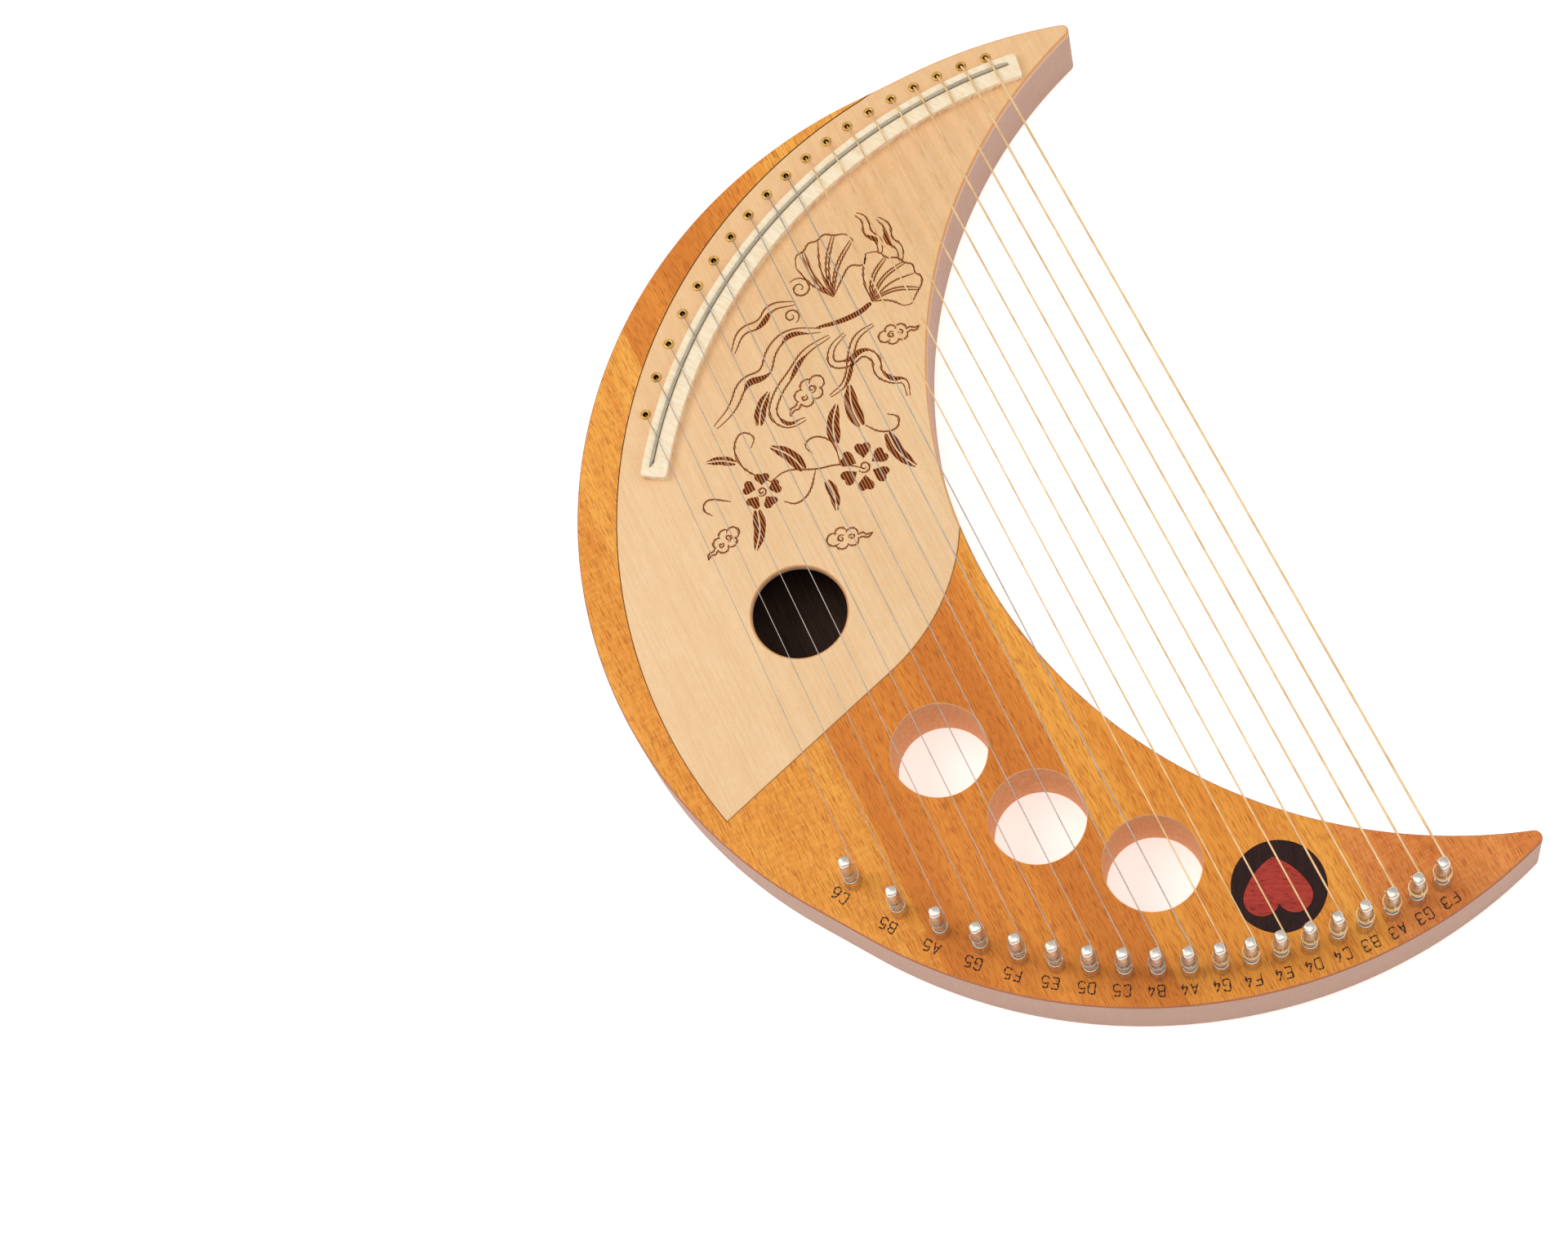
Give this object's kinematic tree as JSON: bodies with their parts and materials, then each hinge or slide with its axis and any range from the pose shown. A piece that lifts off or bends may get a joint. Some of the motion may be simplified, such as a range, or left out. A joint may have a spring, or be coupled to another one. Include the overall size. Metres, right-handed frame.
{
  "type": "crescent lyre harp",
  "caption": "Crescent-shaped small lyre harp with a light soundboard, curved bridge, round ports and tuning pins that turn.",
  "frame": {"origin": "middle of the body's outline on its flat back, the face that the harp lies on", "axes": "+Z out of the playing face, +Y along the strings towards the tuning-pin horn, +X towards the round belly, away from the open side of the crescent"},
  "size_m": [0.2909, 0.4186, 0.062],
  "materials": {
    "mahogany": "orange-amber stained, open-pored, satin lacquer",
    "face_wood": "pale honey, fine grain, satin",
    "bridge_wood": "pale, unfinished",
    "brace_wood": "raw spruce",
    "saddle": "satin grey-beige",
    "brass": "polished",
    "nickel": "nickel plated, polished",
    "dark_inlay": "dark wood, flush, satin",
    "red_inlay": "red wood, flush, satin",
    "wound_string": "bronze wound",
    "plain_string": "plain steel wire"
  },
  "bodies": {
    "root": {"horn_tip_upper": "mahogany", "arm_board_upper": "mahogany", "belly_board_inner": "mahogany", "belly_board_outer": "mahogany", "arm_board_lower": "mahogany", "horn_tip_lower": "mahogany", "soundboard": "face_wood", "back_panel": "mahogany", "brace_upper": "brace_wood", "brace_lower": "brace_wood", "bridge": "bridge_wood", "saddle": "saddle", "string_ferrules": "brass", "string_ball_ends": "brass", "pin_bushings": "nickel", "inlay_disc": "dark_inlay", "inlay_heart": "red_inlay", "string_f3": "wound_string", "string_g3": "wound_string", "string_a3": "wound_string", "string_b3": "wound_string", "string_c4": "wound_string", "string_d4": "wound_string", "string_e4": "wound_string", "string_f4": "wound_string", "string_g4": "wound_string", "string_a4": "plain_string", "string_b4": "plain_string", "string_c5": "plain_string", "string_d5": "plain_string", "string_e5": "plain_string", "string_f5": "plain_string", "string_g5": "plain_string", "string_a5": "plain_string", "string_b5": "plain_string", "string_c6": "plain_string"},
    "pin_f3": {"tuning_pin_f3": "nickel"},
    "pin_g3": {"tuning_pin_g3": "nickel"},
    "pin_a3": {"tuning_pin_a3": "nickel"},
    "pin_b3": {"tuning_pin_b3": "nickel"},
    "pin_c4": {"tuning_pin_c4": "nickel"},
    "pin_d4": {"tuning_pin_d4": "nickel"},
    "pin_e4": {"tuning_pin_e4": "nickel"},
    "pin_f4": {"tuning_pin_f4": "nickel"},
    "pin_g4": {"tuning_pin_g4": "nickel"},
    "pin_a4": {"tuning_pin_a4": "nickel"},
    "pin_b4": {"tuning_pin_b4": "nickel"},
    "pin_c5": {"tuning_pin_c5": "nickel"},
    "pin_d5": {"tuning_pin_d5": "nickel"},
    "pin_e5": {"tuning_pin_e5": "nickel"},
    "pin_f5": {"tuning_pin_f5": "nickel"},
    "pin_g5": {"tuning_pin_g5": "nickel"},
    "pin_a5": {"tuning_pin_a5": "nickel"},
    "pin_b5": {"tuning_pin_b5": "nickel"},
    "pin_c6": {"tuning_pin_c6": "nickel"}
  },
  "joints": [
    {"name": "turn_f3", "type": "hinge", "parent": "root", "child": "pin_f3", "pos_m": [-0.10324, 0.19521, 0.032], "axis": [0, 0, -1], "range_deg": [-720, 60]},
    {"name": "turn_g3", "type": "hinge", "parent": "root", "child": "pin_g3", "pos_m": [-0.0923, 0.19631, 0.032], "axis": [0, 0, -1], "range_deg": [-720, 60]},
    {"name": "turn_a3", "type": "hinge", "parent": "root", "child": "pin_a3", "pos_m": [-0.08135, 0.19678, 0.032], "axis": [0, 0, -1], "range_deg": [-720, 60]},
    {"name": "turn_b3", "type": "hinge", "parent": "root", "child": "pin_b3", "pos_m": [-0.07041, 0.19663, 0.032], "axis": [0, 0, -1], "range_deg": [-720, 60]},
    {"name": "turn_c4", "type": "hinge", "parent": "root", "child": "pin_c4", "pos_m": [-0.05946, 0.19587, 0.032], "axis": [0, 0, -1], "range_deg": [-720, 60]},
    {"name": "turn_d4", "type": "hinge", "parent": "root", "child": "pin_d4", "pos_m": [-0.04852, 0.19448, 0.032], "axis": [0, 0, -1], "range_deg": [-720, 60]},
    {"name": "turn_e4", "type": "hinge", "parent": "root", "child": "pin_e4", "pos_m": [-0.03757, 0.19246, 0.032], "axis": [0, 0, -1], "range_deg": [-720, 60]},
    {"name": "turn_f4", "type": "hinge", "parent": "root", "child": "pin_f4", "pos_m": [-0.02663, 0.18977, 0.032], "axis": [0, 0, -1], "range_deg": [-720, 60]},
    {"name": "turn_g4", "type": "hinge", "parent": "root", "child": "pin_g4", "pos_m": [-0.01569, 0.18639, 0.032], "axis": [0, 0, -1], "range_deg": [-720, 60]},
    {"name": "turn_a4", "type": "hinge", "parent": "root", "child": "pin_a4", "pos_m": [-0.00474, 0.18229, 0.032], "axis": [0, 0, -1], "range_deg": [-720, 60]},
    {"name": "turn_b4", "type": "hinge", "parent": "root", "child": "pin_b4", "pos_m": [0.0062, 0.17741, 0.032], "axis": [0, 0, -1], "range_deg": [-720, 60]},
    {"name": "turn_c5", "type": "hinge", "parent": "root", "child": "pin_c5", "pos_m": [0.01715, 0.17168, 0.032], "axis": [0, 0, -1], "range_deg": [-720, 60]},
    {"name": "turn_d5", "type": "hinge", "parent": "root", "child": "pin_d5", "pos_m": [0.02809, 0.16501, 0.032], "axis": [0, 0, -1], "range_deg": [-720, 60]},
    {"name": "turn_e5", "type": "hinge", "parent": "root", "child": "pin_e5", "pos_m": [0.03903, 0.15729, 0.032], "axis": [0, 0, -1], "range_deg": [-720, 60]},
    {"name": "turn_f5", "type": "hinge", "parent": "root", "child": "pin_f5", "pos_m": [0.04998, 0.14835, 0.032], "axis": [0, 0, -1], "range_deg": [-720, 60]},
    {"name": "turn_g5", "type": "hinge", "parent": "root", "child": "pin_g5", "pos_m": [0.06092, 0.13794, 0.032], "axis": [0, 0, -1], "range_deg": [-720, 60]},
    {"name": "turn_a5", "type": "hinge", "parent": "root", "child": "pin_a5", "pos_m": [0.07186, 0.12569, 0.032], "axis": [0, 0, -1], "range_deg": [-720, 60]},
    {"name": "turn_b5", "type": "hinge", "parent": "root", "child": "pin_b5", "pos_m": [0.08281, 0.11098, 0.032], "axis": [0, 0, -1], "range_deg": [-720, 60]},
    {"name": "turn_c6", "type": "hinge", "parent": "root", "child": "pin_c6", "pos_m": [0.09375, 0.09263, 0.032], "axis": [0, 0, -1], "range_deg": [-720, 60]}
  ]
}
